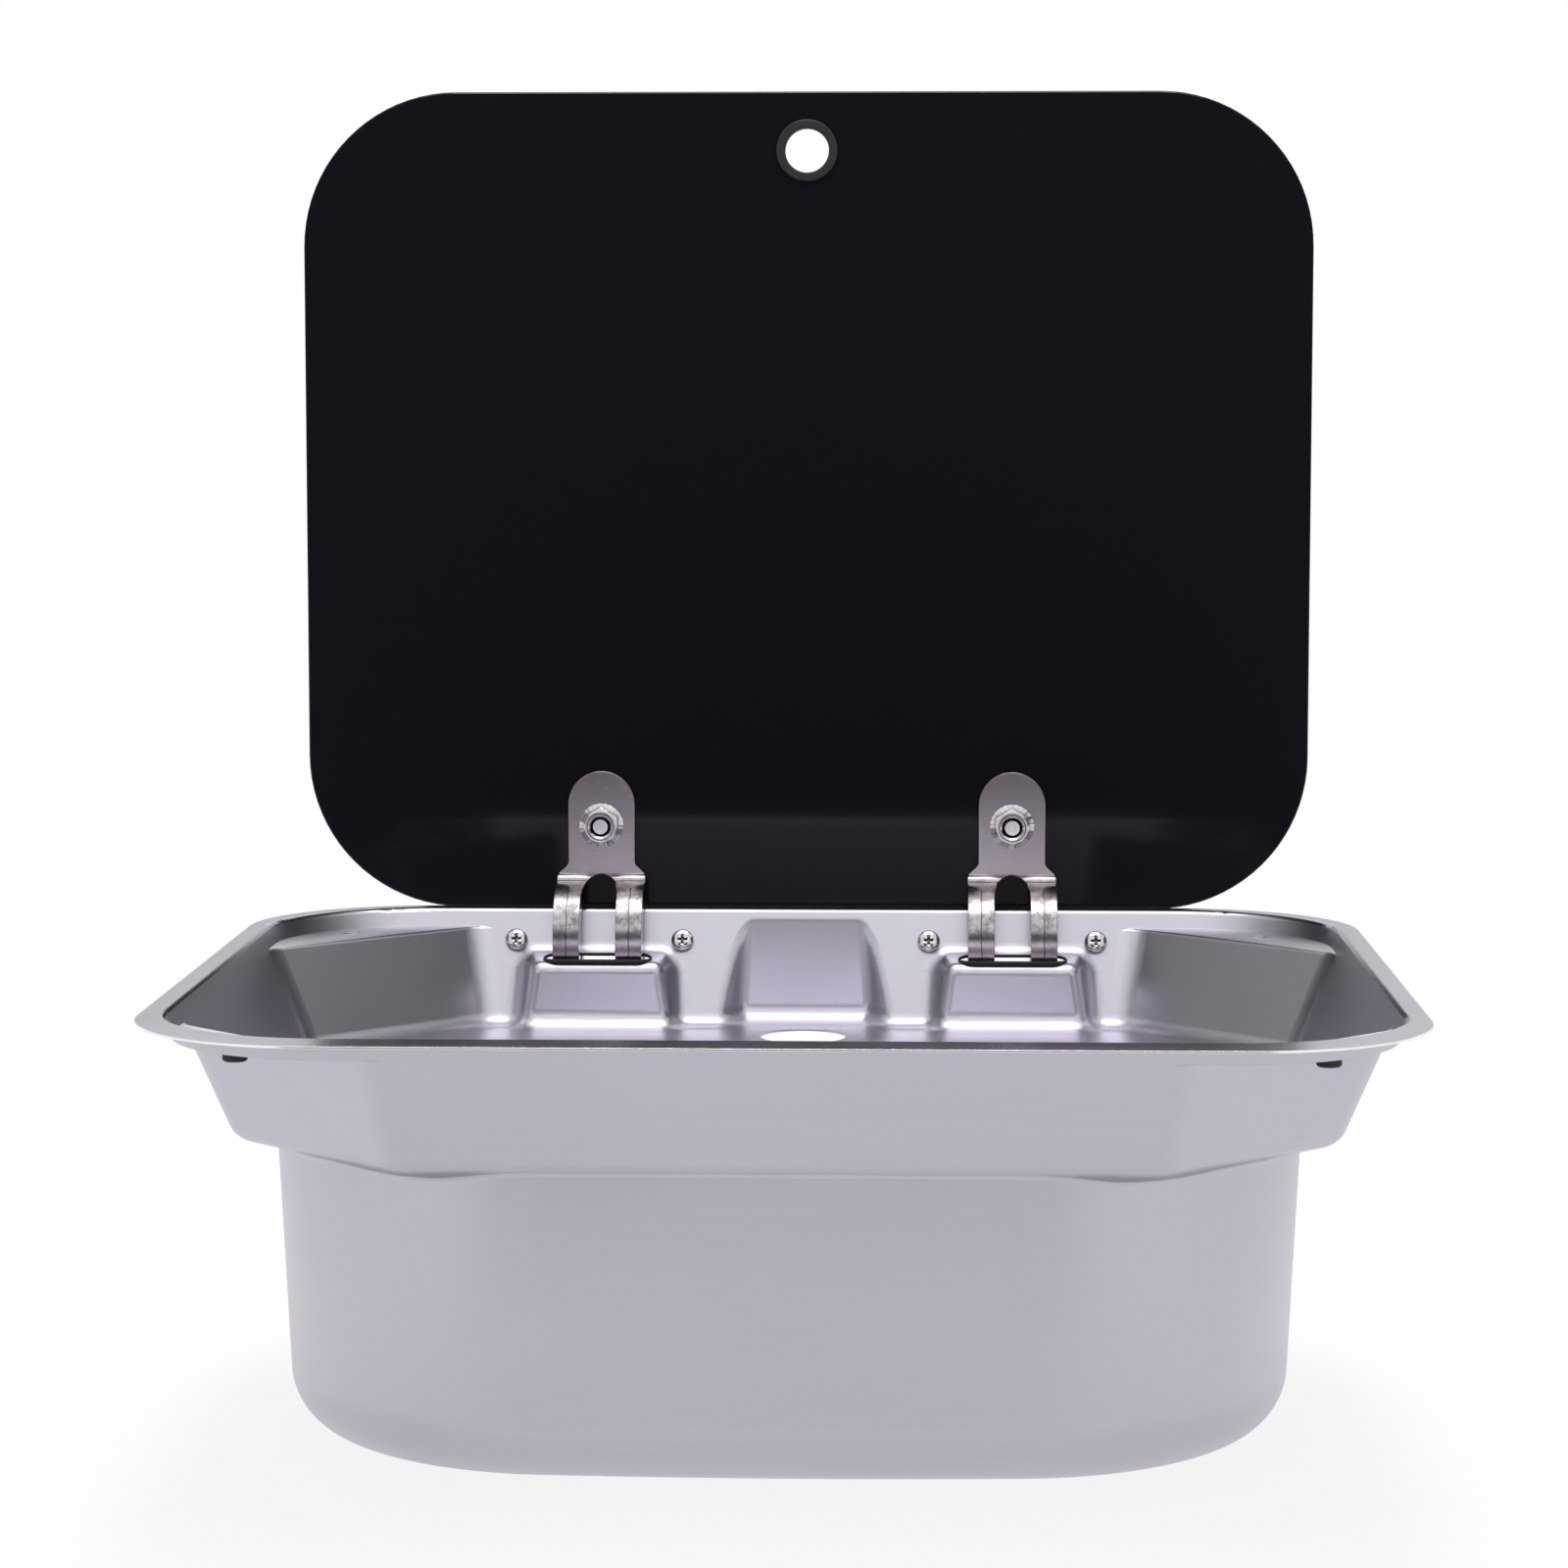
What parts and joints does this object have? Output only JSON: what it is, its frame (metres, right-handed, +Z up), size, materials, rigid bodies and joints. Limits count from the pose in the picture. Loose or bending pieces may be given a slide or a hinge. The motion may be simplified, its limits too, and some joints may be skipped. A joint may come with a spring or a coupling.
{
  "type": "drop-in sink with folding glass lid",
  "caption": "Small rectangular drop-in sink pressed from stainless sheet, with a tap ledge and a flush black glass lid that folds up on two swan-neck hinges.",
  "frame": {"origin": "middle of the rim, on the worktop plane that the rim flange rests on", "axes": "+Z up, +Y to the back edge where the lid is hinged, +X to the right seen from the front"},
  "size_m": [0.42, 0.3727, 0.4736],
  "materials": {
    "stainless_satin": "satin, fine horizontal brushing",
    "black_glass": "polished toughened glass, opaque black",
    "black_rubber": "matte",
    "black_nylon": "matte",
    "hinge_steel": "satin pressed steel",
    "bright_steel": "bright plated steel"
  },
  "bodies": {
    "basin": {"basin": "stainless_satin", "friction_washers_left": "black_nylon", "friction_washers_right": "black_nylon", "front_buffer_left": "black_rubber", "front_buffer_right": "black_rubber", "hinge_base_left": "hinge_steel", "hinge_base_right": "hinge_steel", "hinge_pin_left": "bright_steel", "hinge_pin_right": "bright_steel", "hinge_screws_left": "bright_steel", "hinge_screws_right": "bright_steel", "pin_clip_left": "bright_steel", "pin_clip_right": "bright_steel", "pin_sleeve_left": "black_nylon", "pin_sleeve_right": "black_nylon", "screw_nuts_left": "bright_steel", "screw_nuts_right": "bright_steel"},
    "lid": {"bolt_washer_left": "black_rubber", "bolt_washer_right": "black_rubber", "finger_grommet": "black_rubber", "flange_nut_left": "bright_steel", "flange_nut_right": "bright_steel", "glass_gasket_left": "black_rubber", "glass_gasket_right": "black_rubber", "glass_lid": "black_glass", "hinge_arm_left": "hinge_steel", "hinge_arm_right": "hinge_steel", "lid_bolt_left": "bright_steel", "lid_bolt_right": "bright_steel"}
  },
  "joints": [
    {"name": "lid_hinge", "type": "hinge", "parent": "basin", "child": "lid", "pos_m": [0, 0.176, -0.0117], "axis": [1, 0, 0], "range_deg": [0, 90]}
  ]
}
